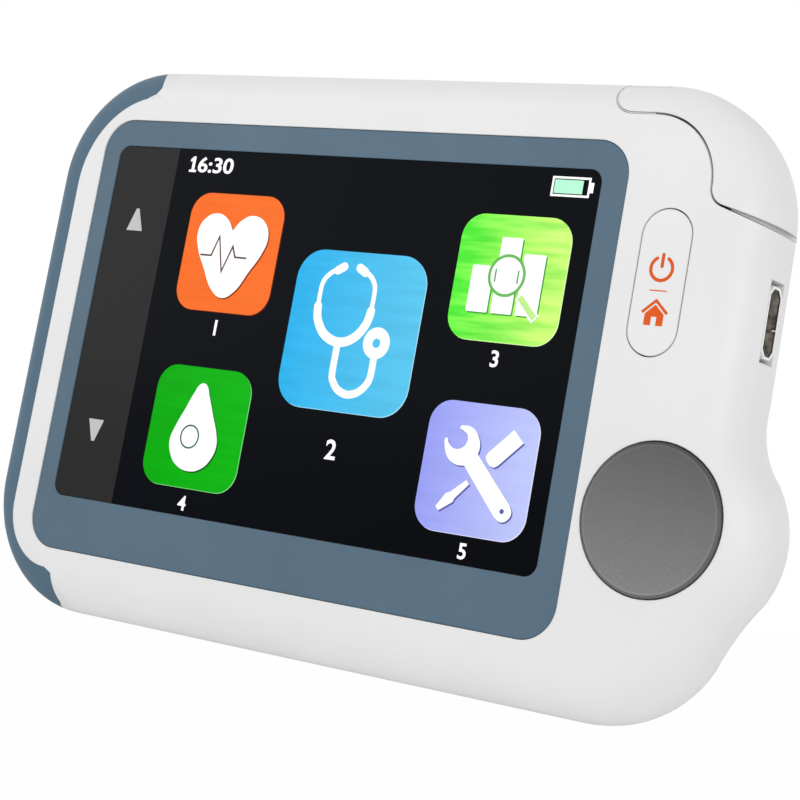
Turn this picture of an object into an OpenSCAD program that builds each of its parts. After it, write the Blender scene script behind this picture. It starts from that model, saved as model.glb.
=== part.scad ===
// Palm-sized home heart monitor with a colour screen, a round thumb electrode,
// a sprung finger flap at one corner, a pill-shaped key and a side socket.
// It stands on its lower edge: X to the right, Y to the back, Z up.

/* [Body] */
// Distance from the screen's centre to the left end
left_reach = 38; // [37:0.5:42]
// Distance from the screen's centre to the right side
right_reach = 44.8; // [44.4:0.2:46]
// Height of the body
body_h = 56.6; // [56:0.2:60]
// Depth of the body from its front face to its back face
body_t = 13; // [12.8:0.2:14]
// Radius of the body's corners, seen from the front
corner_r = 12.3; // [11.9:0.1:12.8]
// Radius of the lower corner beside the thumb grip
low_corner_r = 11.2; // [10.8:0.1:11.8]
// Radius of the rounded edge of the front face
front_r = 4; // [3.4:0.1:4.2]
// Radius of the rounded edge of the back face
back_r = 8; // [7:0.25:8.25]
// Wall thickness of both shells
wall = 1.8; // [1.6:0.1:2]
// Depth of the parting line behind the front face
split = 9; // [8.6:0.1:9.4]
// Gap between the parts that move against the shells
seam_gap = 0.2; // [0.15:0.05:0.3]
// Clearance of pieces that seat in the shells
seat_fit = 0.05; // [0.03:0.01:0.1]

/* [Thumb grip] */
// Radius of the round bulge beside the thumb electrode
grip_r = 9.9; // [9.6:0.1:10.2]
// Radius of the hollow between the bulge and the side
upper_blend_r = 8; // [6:0.25:9]
// Radius of the hollow between the bulge and the lower corner
lower_blend_r = 24; // [18:1:28]
// Radius of the thumb electrode
thumb_r = 6.65; // [6:0.05:7]
// Radius of the finger electrode on the back
back_electrode_r = 5.5; // [4.5:0.1:6]
// Thickness of both round electrodes at their rims
electrode_t = 1.25; // [1.1:0.05:1.35]
// Height by which the thumb electrode stands proud
electrode_proud = 0.25; // [0.1:0.05:0.4]
// Radius of the electrodes' contact studs
stud_r = 1.5; // [1.2:0.1:2]

/* [Screen] */
// Width of the screen surround
bezel_w = 62.16; // [61:0.1:63]
// Height of the screen surround
bezel_h = 44.53; // [44:0.1:45.5]
// Corner radius of the screen surround
bezel_r = 3.4; // [2.5:0.1:4.5]
// Thickness of the screen surround
bezel_t = 1; // [0.8:0.1:1.1]
// Width of the surround's left and right sides, on average
surround_side = 2.35; // [2:0.05:2.8]
// Width of the surround's upper and lower sides, on average
surround_end = 4.01; // [3.5:0.05:4.3]
// Thickness of the touch glass
glass_t = 1.55; // [1.2:0.05:1.6]
// Thickness of the display module
lcd_t = 2.4; // [2:0.1:2.5]

/* [Key] */
// Width of the pill-shaped key
key_w = 5; // [4.4:0.1:5.4]
// Height of the pill-shaped key
key_h = 13.2; // [12:0.1:14]
// Travel of the key
key_travel = 0.4; // [0.3:0.05:0.45]

/* [Finger flap] */
// Radius of the flap's round hinge end
hinge_r = 2.1; // [2:0.05:2.3]
// Radius of the hinge pin
pin_r = 0.5; // [0.4:0.05:0.6]
// Radial clearance of the flap's bore on its pin
pin_fit = 0.06; // [0.03:0.01:0.1]
// Radius of the body's shoulder under the flap
shoulder_r = 6.4; // [6:0.1:6.8]
// Wall thickness of the flap
flap_wall = 1.6; // [1.4:0.1:1.8]

/* [Socket] */
// Height of the socket's hole in the side
socket_h = 7.2; // [6.8:0.1:7.6]
// Width of the socket's hole in the side
socket_w = 2.6; // [2.4:0.1:2.8]
// Thickness of the socket's sheet metal
sheet_t = 0.25; // [0.2:0.05:0.3]

/* [Left end] */
// Thickness of the coloured band round the left end
band_t = 1; // [0.8:0.1:1.1]
// Width of the band on the front face
band_w = 4.1; // [3.5:0.1:4.4]

/* [Hidden] */
$fn = 72;
over = 1;
half_h = body_h / 2;

// Plan centres, in the flat frame: x right, y up, z from the front face to the back.
// The part is drawn lying on its front face and stood up at the end.
corner_up = half_h - corner_r;
corner_left = corner_r - left_reach;
corner_right = right_reach - corner_r;
inner_left = back_r - left_reach;
inner_right = right_reach - back_r;
inner_up = half_h - back_r;
low_corner = [right_reach - low_corner_r, low_corner_r - half_h];
grip = [right_reach - 6.2, -10.4];
bulge = [grip.x, grip.y - 0.5];
grip_edge = bulge.x + grip_r;
width_shift = (grip_edge - left_reach) / 2;
depth_shift = (body_t - electrode_proud) / 2;

// Centre of a circle that touches two others from outside
function touching(a, ra, b, rb, side) =
    let (d = norm(b - a), u = (b - a) / d, s = (ra * ra - rb * rb + d * d) / (2 * d))
    a + s * u + side * sqrt(ra * ra - s * s) * [-u.y, u.x];
function heading(a, b) = atan2(b.y - a.y, b.x - a.x);

bite = 0.02; // by which the hollows cut into the round forms beside them
swell = 0.1; // by which their flared edges are rounder
upper_hollow = [right_reach + upper_blend_r, bulge.y
    + sqrt(pow(grip_r + upper_blend_r, 2) - pow(right_reach + upper_blend_r - bulge.x, 2))];
lower_hollow = touching(low_corner, low_corner_r + lower_blend_r,
    bulge, grip_r + lower_blend_r, -1);

// Screen
window_w = bezel_w - 2 * surround_side;
window_h = bezel_h - 2 * surround_end;
window_mid = [-0.25, 1.33];
glass_z = 0.2;
bezel_z = 0.1;
lcd_size = [58.9, 41.7];
lcd_mid = [1.95, 1.25];
lcd_active = [49, 36.7];
lcd_active_mid = [3.7, 1.33];
lcd_back = wall + lcd_t;

// Board and what stands on it
board_t = 0.8;
board_z = lcd_back + 0.2;
board_back = board_z + board_t;
board_margin = 0.6;
ribbon = [13, 14];
chips = [[12, 2, 8, 1.1], [20, -6, 6, 1], [28, 8, 4, 0.9], [27, -14, 5, 1], [13, -10, 4, 0.9]];
pulse_chip = [2.5, 3, 1.2];
boss_left = 7 - left_reach;
boss_up = half_h - 8.3;
boss_at = [[boss_left, boss_up], [boss_left, -boss_up], [right_reach - 11.3, 6.8 - half_h],
    [right_reach - 20.8, half_h - 3.7]];
boss_r = 1.9;
boss_neck_r = 1.5;
boss_top = split;
screw_r = 0.6;
screw_head_r = 1.4;
screw_seat_z = 10.6;
screw_head_t = 0.9;

// Key and its switch
key_mid = [right_reach - 8.95, 9.9];
key_gap = 0.12;
key_flange = 0.4;
key_flange_t = 0.4;
key_foot = wall + 0.05 + key_flange_t;
plunger_r = 0.9;
switch_face = key_foot + key_travel + 0.2;
switch_size = 3.2;

// Flap
pin = [right_reach - 14.4, half_h - 1.2];
shoulder = [pin.x + 2.6, pin.y - hinge_r - shoulder_r];
mouth_tilt = -14;
mouth_wedge = -4;
lip_r = 1.6;
lip = [shoulder.x + shoulder_r + lip_r, shoulder.y];
ear_z = [2.2, 7];
ear_t = 1.2;
pin_ends = [2.3, 8.1];
coil_z = [5.1, 6.5];
coil_r = 0.72;
coil_wire = 0.24;
flap_solid_x = shoulder.x + 0.2;
finger_z = [2.1, 10.9];
finger_mid_z = (finger_z[0] + finger_z[1]) / 2;
finger_r = 9;
flap_pad_y = half_h - 6.45;
seat_top = flap_pad_y - 5.25;
tray_top = seat_top - 2.2;
tray_t = 1;
tray_left = shoulder.x - 1.1;
tray_wall = 1.2;
tray_z = body_t - wall - 0.1;
shelf_top = pin.y - hinge_r - seam_gap;
key_room_x = key_mid.x + key_w / 2 + key_flange + 0.3;
key_room_y = key_mid.y + key_h / 2 + key_flange + 0.3;
key_room_z = key_foot + key_travel + 0.3;
window_x = pin.x + 7.1;
lens_r = 1.5;
lens_t = 0.6;
lens_y = flap_pad_y + 1.15;
lens_hole = 4;
sensor_t = 0.9;
reach = 60; // length of cuts that end outside the part

// Electrodes
thumb_seat = electrode_t - electrode_proud;
finger_electrode = [grip.x - 4, grip.y];
stud_end = 3;
back_stud_end = 10.4;
left_pad = [18, 5];
left_pad_z = 6.2;

// Socket, its axis along x
socket_mid = [7.9, 4.6];
metal_h = socket_h - 1.1;
metal_w = socket_w - 0.4;
metal_cut = 0.5;
socket_front = right_reach - 0.25;
socket_depth = 6.6;

// Speaker and battery
speaker = [23.5, 11.5];
speaker_r = 5;
speaker_t = 2.6;
battery = [37, 34, 5];
battery_mid = [-10.5, 0];

// ---- frame helpers ----

// Stands the flat drawing up on the body's lower edge
module stood_up() {
    translate([-width_shift, -depth_shift, half_h])
        mirror([0, 1, 0]) rotate([90, 0, 0]) children();
}

module slab(z0, z1) {
    translate([0, 0, z0]) linear_extrude(z1 - z0) children();
}

module rounded(w, h, r) {
    if (r > 0) {
        union() {
            square([w - 2 * r, h], center = true);
            square([w, h - 2 * r], center = true);
            for (sx = [-1, 1], sy = [-1, 1])
                translate([sx * (w / 2 - r), sy * (h / 2 - r)]) circle(r);
        }
    }
}

module pill(w, h) {
    translate([0, (w - h) / 2]) circle(w / 2);
    translate([0, (h - w) / 2]) circle(w / 2);
    square([w, h - w], center = true);
}

// ---- outer form, drawn g inside the surface, from depth z0 to z1 ----

// Half section of the rim: from x = 0 outwards, with the two rounded edges
module rim(w, g, z0, z1) {
    front = front_r - g;
    back = back_r - g;
    near = max(g, z0);
    far = min(body_t - g, z1);
    difference() {
        translate([0, near]) square([w, far - near]);
        if (near < front_r) translate([w - front, g]) difference() {
            translate([0, -over]) square([front + over, front + over]);
            translate([0, front]) circle(front);
        }
        if (far > body_t - back_r) translate([w - back, body_t - g - back]) difference() {
            square(back + over);
            circle(back);
        }
    }
}

module corner(at, r, facing, g, z0, z1) {
    translate(at) rotate(facing) rotate_extrude(angle = 90) rim(r - g, g, z0, z1);
}

module side(at, facing, run, g, z0, z1) {
    translate(at) rotate([0, 0, facing]) rotate([90, 0, 0])
        linear_extrude(run) rim(back_r - g, g, z0, z1);
}

// Flared ring that cuts the hollow between two round forms. It cuts a hair into both,
// so that no face only grazes another.
module flare(at, hollow_r, g, z0, z1) {
    front = front_r - g;
    back = back_r - g;
    r = hollow_r + g + bite;
    translate(at) rotate_extrude() {
        translate([0, -over]) square([r, body_t + 2 * over]);
        if (z0 < front_r) difference() {
            translate([r, -over]) square([front + swell, front + over]);
            translate([r + front + swell, g + front + swell - bite]) circle(front + swell);
        }
        if (z1 > body_t - back_r) difference() {
            translate([r, body_t - g - back]) square([back + swell, back + g + over]);
            translate([r + back + swell, body_t - g - back - swell + bite])
                circle(back + swell);
        }
    }
}

module pebble(g = 0, z0 = 0, z1 = body_t) {
    difference() {
        union() {
            slab(max(g, z0), min(body_t - g, z1)) polygon([
                [inner_left, -corner_up], [corner_left, -corner_up],
                [corner_left, -inner_up], [low_corner.x, -inner_up],
                low_corner, [inner_right, low_corner.y],
                [inner_right, corner_up], [corner_right, corner_up],
                [corner_right, inner_up], [corner_left, inner_up],
                [corner_left, corner_up], [inner_left, corner_up]]);
            side([inner_right, corner_up], 0, corner_up - low_corner.y, g, z0, z1);
            side([corner_left, inner_up], 90, corner_right - corner_left, g, z0, z1);
            side([inner_left, -corner_up], 180, 2 * corner_up, g, z0, z1);
            side([low_corner.x, -inner_up], 270, low_corner.x - corner_left, g, z0, z1);
            corner([corner_right, corner_up], corner_r, 0, g, z0, z1);
            corner([corner_left, corner_up], corner_r, 90, g, z0, z1);
            corner([corner_left, -corner_up], corner_r, 180, g, z0, z1);
            corner(low_corner, low_corner_r, 270, g, z0, z1);
            translate(bulge) rotate_extrude() rim(grip_r - g, g, z0, z1);
            slab(max(g, z0), min(body_t - g, z1)) {
                polygon([upper_hollow, [inner_right, upper_hollow.y],
                    [inner_right, bulge.y], bulge]);
                polygon([lower_hollow, bulge, low_corner]);
            }
        }
        flare(upper_hollow, upper_blend_r, g, z0, z1);
        flare(lower_hollow, lower_blend_r, g, z0, z1);
    }
}

// ---- areas seen from the front ----

// The flap's area, grown by gap; open upwards and to the right
module flap_area(gap, wedge) {
    r = lip_r + gap;
    tilt = mouth_tilt + wedge;
    touch = lip + r * [sin(tilt), -cos(tilt)];
    translate(pin) circle(hinge_r + gap);
    difference() {
        translate([pin.x, shoulder.y]) square(reach);
        translate(shoulder) circle(shoulder_r - gap);
        translate([pin.x - over, shoulder.y - over])
            square([shoulder.x - pin.x + over, shoulder_r - gap + over]);
    }
    translate(lip) circle(r);
    polygon([[lip.x - r, shoulder.y], lip, touch, touch + reach * [cos(tilt), sin(tilt)],
        [lip.x + reach, shoulder.y + reach], [lip.x - r, shoulder.y + reach]]);
}

// The coloured band's area, from the left end in to its inner edge
module band_area() {
    top_r = 9.6;
    low_r = 5.8;
    x = band_w - left_reach;
    top = [x + top_r, half_h - 3.4];
    low = [x + low_r, 4 - half_h];
    tip = corner_left + 2;
    far = left_reach + 5;
    difference() {
        translate([-far, -half_h - over]) square([far + tip, body_h + 2 * over]);
        translate([x, low.y + low_r]) square([far, top.y - top_r - low.y - low_r]);
        translate([top.x, top.y - top_r]) circle(top_r);
        translate([low.x, low.y + low_r]) circle(low_r);
        polygon([[top.x, top.y - top_r], [top.x, top.y], [top.x - 1.4, top.y + 0.1],
            [top.x - 0.9, top.y + 0.9], [tip - 0.4, half_h - 1], [tip - 0.3, half_h + 2 * over],
            [tip + over, half_h + 2 * over], [tip + over, top.y - top_r]]);
        polygon([[low.x, low.y + low_r], [low.x, low.y], [low.x + 1, low.y - 0.5],
            [low.x + 1.5, low.y - 1.5], [low.x + 2.3, low.y - 2.3],
            [tip - 0.5, -half_h - 2 * over], [tip + over, -half_h - 2 * over],
            [tip + over, low.y + low_r]]);
    }
}

module left_pad_area() {
    translate([-left_reach - over, -left_pad[0] / 2, left_pad_z - left_pad[1] / 2])
        cube([4, left_pad[0], left_pad[1]]);
}

module window_area(grow) {
    translate(window_mid) rounded(window_w + 2 * grow, window_h + 2 * grow, 1.3 + grow);
}

module socket_area(w, h, cut) {
    polygon([[-w / 2, -h / 2 + cut], [-w / 2 + cut, -h / 2], [w / 2 - cut, -h / 2],
        [w / 2, -h / 2 + cut], [w / 2, h / 2 - cut], [w / 2 - cut, h / 2],
        [-w / 2 + cut, h / 2], [-w / 2, h / 2 - cut]]);
}

// Runs an area drawn as [depth, height] along x
module along_x(x0, x1) {
    translate([x1, socket_mid[0], socket_mid[1]]) rotate([0, -90, 0])
        linear_extrude(x1 - x0) children();
}

// Round wire along a path that never runs straight up
function unit(v) = v / norm(v);
module wire(path, width) {
    sides = 6;
    last = len(path) - 1;
    rings = [for (i = [0 : last])
        let (t = unit(path[min(i + 1, last)] - path[max(i - 1, 0)]),
            across = unit(cross(t, [0, 0, 1])), up = cross(across, t))
        for (j = [0 : sides - 1])
        path[i] + width / 2 * (cos(j * 360 / sides) * across + sin(j * 360 / sides) * up)];
    skin = [for (i = [0 : last - 1], j = [0 : sides - 1])
        let (k = (j + 1) % sides, p = i * sides)
        each [[p + j, p + k, p + sides + k], [p + j, p + sides + k, p + sides + j]]];
    start = [for (j = [1 : sides - 2]) [0, j + 1, j]];
    finish = [for (j = [1 : sides - 2]) [last * sides, last * sides + j, last * sides + j + 1]];
    polyhedron(rings, concat(skin, start, finish));
}

function helix(r, z0, z1, turns, from) = let (steps = 18, count = turns * steps)
    [for (i = [0 : count]) [r * cos(from + i * 360 / steps), r * sin(from + i * 360 / steps),
        z0 + (z1 - z0) * i / count]];

module spring(r, width, z0, z1, turns) {
    wire(helix(r, z0 + width / 2, z1 - width / 2, turns, 0), width);
}

// ---- housing ----

module band_room() {
    difference() {
        slab(-over, body_t + over) band_area();
        pebble(band_t);
    }
}

// Ears of the hinge, joined to the shell's top wall on their left
module ears(gap) {
    for (z = ear_z) slab(z - gap, z + ear_t + gap) {
        translate(pin) circle(hinge_r + gap);
        if (gap == 0) translate([pin.x - 4, pin.y - hinge_r]) square([4, hinge_r]);
    }
}

module key_room() {
    translate([tray_left - 5, 0, 0]) cube([key_room_x - tray_left + 5, key_room_y, key_room_z]);
}

module front_shell() color("whitesmoke") stood_up() difference() {
    pebble(0, 0, split);
    difference() {
        pebble(wall, 0, split + over);
        ears(0);
        for (p = boss_at) translate(p) {
            slab(0, board_z) circle(boss_r);
            slab(0, split) circle(boss_neck_r);
        }
    }
    difference() {
        slab(-over, body_t + over) flap_area(seam_gap, mouth_wedge);
        ears(0);
    }
    slab(-over, bezel_z + bezel_t)
        rounded(bezel_w + 2 * seat_fit, bezel_h + 2 * seat_fit, bezel_r);
    slab(-over, wall + over) window_area(seat_fit);
    slab(-over, thumb_seat) translate(grip) circle(thumb_r + 2 * seat_fit);
    slab(-over, wall + over) translate(grip) circle(stud_r + 2 * seat_fit);
    slab(-over, wall + over) translate(key_mid) pill(key_w, key_h);
    band_room();
    left_pad_area();
    along_x(right_reach - 3, right_reach + over) square([socket_w, socket_h], center = true);
    for (p = boss_at) slab(board_z + 0.6, split + over) translate(p) circle(screw_r);
    slab(ear_z[0] - over / 2, pin_ends[1]) translate(pin) circle(pin_r + seat_fit / 2);
}

module back_shell() color("whitesmoke") stood_up() difference() {
    pebble(0, split + 0.05, body_t);
    difference() {
        pebble(wall, split - over, body_t);
        for (p = boss_at) slab(split + 0.05, body_t) translate(p) circle(boss_r + 0.3);
    }
    slab(-over, body_t + over) flap_area(seam_gap, mouth_wedge);
    slab(body_t - electrode_t, body_t + over)
        translate(finger_electrode) circle(back_electrode_r + 2 * seat_fit);
    slab(0, body_t + over) translate(finger_electrode) circle(stud_r + 2 * seat_fit);
    band_room();
    left_pad_area();
    for (p = boss_at) translate(p) {
        slab(screw_seat_z, body_t + over) circle(screw_head_r + 0.1);
        slab(0, body_t) circle(screw_r + 0.1);
    }
    for (i = [0 : 6]) translate(speaker)
        slab(0, body_t + over) rotate(i * 60) translate([i == 6 ? 0 : 2.4, 0]) circle(0.5);
}

// Bracket that holds the finger bed: floor, stop and a shelf under the hinge
module finger_bracket() color("silver") stood_up() difference() {
    intersection() {
        pebble(wall + seat_fit);
        slab(wall, tray_z) union() {
            translate([tray_left, tray_top - tray_t]) square([20, tray_t]);
            translate([tray_left, tray_top - tray_t])
                square([tray_wall, shelf_top - tray_top + tray_t]);
            translate([pin.x - hinge_r - over, shelf_top - tray_wall])
                square([tray_left + tray_wall - pin.x + hinge_r + over, tray_wall]);
        }
    }
    key_room();
}

module left_end_band() color("slategray") stood_up() difference() {
    intersection() {
        pebble(0);
        slab(-over, body_t + over) band_area();
    }
    pebble(band_t);
    left_pad_area();
}

module left_electrode() color("silver") stood_up() difference() {
    intersection() {
        pebble(0);
        left_pad_area();
    }
    pebble(wall);
}

// ---- screen ----

module screen_bezel() color("slategray") stood_up() slab(bezel_z, bezel_z + bezel_t) difference() {
    rounded(bezel_w, bezel_h, bezel_r);
    window_area(0);
}

module touch_glass() color("dimgray") stood_up()
    slab(glass_z, glass_z + glass_t) window_area(-seat_fit);

module lcd_module() color("silver") stood_up() difference() {
    translate([lcd_mid.x, lcd_mid.y]) slab(wall, lcd_back) square(lcd_size, center = true);
    translate([lcd_active_mid.x, lcd_active_mid.y])
        slab(wall - over, wall + 0.1) square(lcd_active, center = true);
}

module display_ribbon() color("orange") stood_up()
    translate([lcd_mid.x - lcd_size.x / 2 + 3.5, -ribbon.y / 2, lcd_back])
        cube([ribbon.x, ribbon.y, board_z - lcd_back]);

// ---- board ----

module main_board() color("darkgreen") stood_up() difference() {
    intersection() {
        pebble(wall + board_margin);
        slab(board_z, board_back) square(200, center = true);
    }
    translate([tray_left - 0.4, tray_top - tray_t - 0.4, 0]) cube(30);
    translate([pin.x - hinge_r - 2, pin.y - hinge_r - 2.2, 0]) cube(30);
    translate([socket_front - socket_depth - 0.3, socket_mid[0] - socket_h / 2 - 0.2, 0])
        cube([20, socket_h + 0.4, 10]);
    for (p = boss_at) slab(0, body_t) translate(p) circle(boss_neck_r + 0.1);
}

module board_chips() color("black") stood_up() translate([0, 0, board_back]) {
    for (c = chips)
        translate([c[0], c[1] - c[2] / 2, 0]) cube([c[2], c[2], c[3]]);
    translate([5 - left_reach, left_pad.x / 2 - 0.5, 0]) cube(pulse_chip);
}

module battery() color("lightblue") stood_up()
    translate([battery_mid.x, battery_mid.y]) slab(board_back, board_back + battery[2])
        rounded(battery[0], battery[1], 1.5);

module battery_plug() color("ivory") stood_up()
    translate([battery_mid.x + battery[0] / 2 + 0.6, -17, board_back]) cube([4, 5.5, 2.6]);

module speaker() color("dimgray") stood_up() translate(speaker)
    slab(body_t - wall - speaker_t, body_t - wall) circle(speaker_r);

module case_screws() color("silver") stood_up() for (p = boss_at) translate(p) difference() {
    union() {
        slab(board_z + 1, screw_seat_z + 0.2) circle(screw_r - 0.02);
        slab(screw_seat_z, screw_seat_z + screw_head_t) circle(screw_head_r);
    }
    for (a = [0, 90]) rotate(a) translate([-0.9, -0.2, screw_seat_z + 0.4]) cube([1.8, 0.4, 1]);
}

// ---- key ----

module power_button() color("whitesmoke") stood_up() translate(key_mid) {
    slab(0, wall + 0.1) pill(key_w - 2 * key_gap, key_h - 2 * key_gap);
    slab(wall + 0.05, key_foot) pill(key_w + 2 * key_flange, key_h + 2 * key_flange);
}

module switch_plunger() color("black") stood_up() translate(key_mid)
    slab(key_foot, switch_face + 0.45) circle(plunger_r);

module power_switch() color("silver") stood_up() translate(key_mid) difference() {
    slab(switch_face, board_z) square(switch_size, center = true);
    slab(switch_face - over, switch_face + 0.45 + key_travel + 0.1)
        circle(plunger_r + 0.05);
}

// ---- electrodes ----

module round_electrode(r, stud) {
    lip = 0.2;
    rotate_extrude() difference() {
        union() {
            square([r, electrode_t]);
            square([stud_r, electrode_t + stud]);
        }
        translate([r - lip, -over]) rotate(-45) square([2 * lip, 2]);
    }
}

module thumb_electrode() color("gray") stood_up()
    translate([grip.x, grip.y, -electrode_proud])
        round_electrode(thumb_r, stud_end - thumb_seat);

module thumb_electrode_spring() color("gold") stood_up()
    translate(grip) spring(1.2, 0.3, stud_end, board_z, 3);

module back_electrode() color("gray") stood_up()
    translate([finger_electrode.x, finger_electrode.y, body_t])
        mirror([0, 0, 1]) round_electrode(back_electrode_r, body_t - electrode_t - back_stud_end);

module back_electrode_spring() color("gold") stood_up()
    translate(finger_electrode) spring(1.2, 0.3, board_back, back_stud_end, 6);

// ---- socket ----

module connector_shell() color("silver") stood_up() {
    difference() {
        along_x(socket_front - socket_depth, socket_front)
            socket_area(metal_w, metal_h, metal_cut);
        along_x(socket_front - socket_depth + 0.8, socket_front + over)
            socket_area(metal_w - 2 * sheet_t, metal_h - 2 * sheet_t, metal_cut - 0.1);
    }
    difference() {
        along_x(socket_front - 0.8, socket_front - 0.5)
            square([socket_w - 0.2, socket_h - 0.2], center = true);
        along_x(socket_front - 2, socket_front) socket_area(metal_w, metal_h, metal_cut);
    }
}

module connector_tongue() color("black") stood_up()
    along_x(socket_front - socket_depth + 0.8, socket_front - 1)
        square([0.6, metal_h - 1.4], center = true);

module connector_contacts() color("gold") stood_up() {
    pins = 9;
    pitch = 0.5;
    for (i = [0 : pins - 1]) translate([0, (i - (pins - 1) / 2) * pitch, 0])
        along_x(socket_front - socket_depth + 0.8, socket_front - 1.2)
            translate([-0.4, 0]) square([0.2, 0.25], center = true);
}

// ---- finger flap ----

module flap_shell() color("white") stood_up() difference() {
    intersection() {
        pebble(0);
        slab(-over, body_t + over) flap_area(0, 0);
    }
    intersection() {
        pebble(flap_wall);
        translate([flap_solid_x, 0, 0]) cube(reach);
    }
    ears(seam_gap);
    slab(ear_z[0], pin_ends[1]) translate(pin) circle(pin_r + pin_fit);
    slab(coil_z[0] - 0.1, coil_z[1] + 0.1) translate(pin) circle(coil_r + 0.4);
    slab(coil_z[0] - 0.1, coil_z[0] + 0.4) translate([pin.x - 3, pin.y - coil_r - 0.2])
        square([3, hinge_r + 1.5]);
    slab(coil_z[1] - 0.4, coil_z[1] + 0.1) translate([pin.x, pin.y - coil_r - 0.2])
        square([flap_solid_x - pin.x - 0.2, 0.4]);
}

module flap_pad() color("gray") stood_up() difference() {
    intersection() {
        pebble(flap_wall + seat_fit);
        translate([flap_solid_x + 0.1, flap_pad_y, finger_z[0]])
            cube([reach, reach, finger_z[1] - finger_z[0]]);
    }
    translate([0, 0, split - seam_gap])
        cube([shoulder.x + shoulder_r + seam_gap, half_h, body_t]);
    finger_bore(flap_pad_y - 0.1 - sqrt(pow(finger_r, 2) - pow(finger_mid_z - finger_z[0], 2)));
    translate([window_x, lens_y + lens_t + seat_fit, finger_mid_z]) rotate([90, 0, 0])
        cylinder(r = lens_r, h = lens_hole);
}

// A cylinder along x that shapes the bed for a fingertip
module finger_bore(y) {
    translate([pin.x, y, finger_mid_z]) rotate([0, 90, 0]) cylinder(r = finger_r, h = reach);
}

module flap_light_window() color("darkred") stood_up()
    translate([window_x, lens_y + lens_t, finger_mid_z]) rotate([90, 0, 0])
        cylinder(r = lens_r - seat_fit, h = lens_t);

module flap_hinge_pin() color("silver") stood_up()
    slab(pin_ends[0], pin_ends[1] - 0.05) translate(pin) circle(pin_r);

module flap_spring() color("silver") stood_up() translate(pin)
    wire(concat([[-4.2, -coil_r, coil_z[0] + coil_wire / 2]],
        helix(coil_r, coil_z[0] + coil_wire / 2, coil_z[1] - coil_wire / 2, 4, -90),
        [[2.4, -coil_r, coil_z[1] - coil_wire / 2]]), coil_wire);

module finger_seat_pad() color("gray") stood_up() difference() {
    intersection() {
        pebble(wall + seat_fit);
        translate([tray_left + tray_wall + 0.1, tray_top, finger_z[0]])
            cube([reach, seat_top - tray_top, finger_z[1] - finger_z[0]]);
    }
    finger_bore(seat_top + 0.1 + sqrt(pow(finger_r, 2) - pow(finger_mid_z - finger_z[0], 2)));
    key_room();
    translate([window_x, seat_top + over, finger_mid_z]) rotate([90, 0, 0])
        cylinder(r = lens_r, h = lens_hole);
}

module sensor_window() color("darkred") stood_up()
    translate([window_x, tray_top + sensor_t, finger_mid_z]) rotate([90, 0, 0])
        cylinder(r = lens_r - seat_fit, h = sensor_t);

front_shell();
back_shell();
left_end_band();
left_electrode();
screen_bezel();
touch_glass();
lcd_module();
display_ribbon();
main_board();
board_chips();
battery();
battery_plug();
speaker();
case_screws();
power_button();
switch_plunger();
power_switch();
thumb_electrode();
thumb_electrode_spring();
back_electrode();
back_electrode_spring();
connector_shell();
connector_tongue();
connector_contacts();
flap_shell();
flap_pad();
flap_light_window();
flap_hinge_pin();
flap_spring();
finger_bracket();
finger_seat_pad();
sensor_window();
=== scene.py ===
import math
import bmesh
import bpy
from mathutils import Matrix, Vector


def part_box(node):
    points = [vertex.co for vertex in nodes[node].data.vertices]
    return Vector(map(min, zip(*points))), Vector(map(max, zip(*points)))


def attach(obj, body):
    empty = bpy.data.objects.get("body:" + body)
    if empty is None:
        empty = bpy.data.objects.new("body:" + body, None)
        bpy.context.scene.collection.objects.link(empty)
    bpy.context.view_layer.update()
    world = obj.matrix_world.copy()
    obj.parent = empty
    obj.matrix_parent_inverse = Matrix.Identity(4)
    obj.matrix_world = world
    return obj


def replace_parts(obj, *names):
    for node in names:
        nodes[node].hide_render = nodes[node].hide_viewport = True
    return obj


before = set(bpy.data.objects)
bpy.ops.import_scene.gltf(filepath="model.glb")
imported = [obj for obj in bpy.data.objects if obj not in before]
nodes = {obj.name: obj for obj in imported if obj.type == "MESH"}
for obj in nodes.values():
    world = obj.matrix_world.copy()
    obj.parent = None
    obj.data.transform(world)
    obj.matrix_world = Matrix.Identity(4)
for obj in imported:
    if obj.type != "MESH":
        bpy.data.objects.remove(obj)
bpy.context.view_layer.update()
mm = 0.001
print("frame loaded:", len(nodes), "nodes")

# The face of the monitor is drawn flat: x to the right and y up from the middle of the
# screen surround, z from the front face to the back, all in millimetres.
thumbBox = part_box("thumb_electrode")
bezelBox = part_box("screen_bezel")
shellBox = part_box("front_shell")
faceCentre = Vector(((bezelBox[0][0] + bezelBox[1][0]) / 2,
                     shellBox[0][1],
                     (bezelBox[0][2] + bezelBox[1][2]) / 2))


def place(x, y, z):
    return faceCentre + Vector((x * mm, z * mm, y * mm))


cameraPlace = {
    "at": (123.43, -17.32, -162.32),       # right of the screen, a little below its middle
    "looks": (-0.56027, 0.12991, 0.81806),
    "up": (-0.07284, 0.97607, -0.20488),
    "focal": 2150.4,                        # in pixels of the 800 pixel frame
    "axis": (430.8, 278.6),                # pixel that the lens axis meets
    "frame": 800,
    "sensor": 36,
}


def addCamera(c):
    camera = bpy.data.objects.new("camera", bpy.data.cameras.new("camera"))
    bpy.context.scene.collection.objects.link(camera)
    looks = Vector((c["looks"][0], c["looks"][2], c["looks"][1])).normalized()
    up = Vector((c["up"][0], c["up"][2], c["up"][1])).normalized()
    right = looks.cross(up).normalized()
    up = right.cross(looks)
    turn = Matrix((right, up, -looks)).transposed().to_4x4()
    camera.matrix_world = Matrix.Translation(place(*c["at"])) @ turn
    camera.data.sensor_width = c["sensor"]
    camera.data.lens = c["focal"] * c["sensor"] / c["frame"]
    camera.data.shift_x = (c["frame"] / 2 - c["axis"][0]) / c["frame"]
    camera.data.shift_y = (c["axis"][1] - c["frame"] / 2) / c["frame"]
    camera.data.clip_start = 0.005
    bpy.context.scene.camera = camera
    return camera


addCamera(cameraPlace)
print("camera placed")


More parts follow.
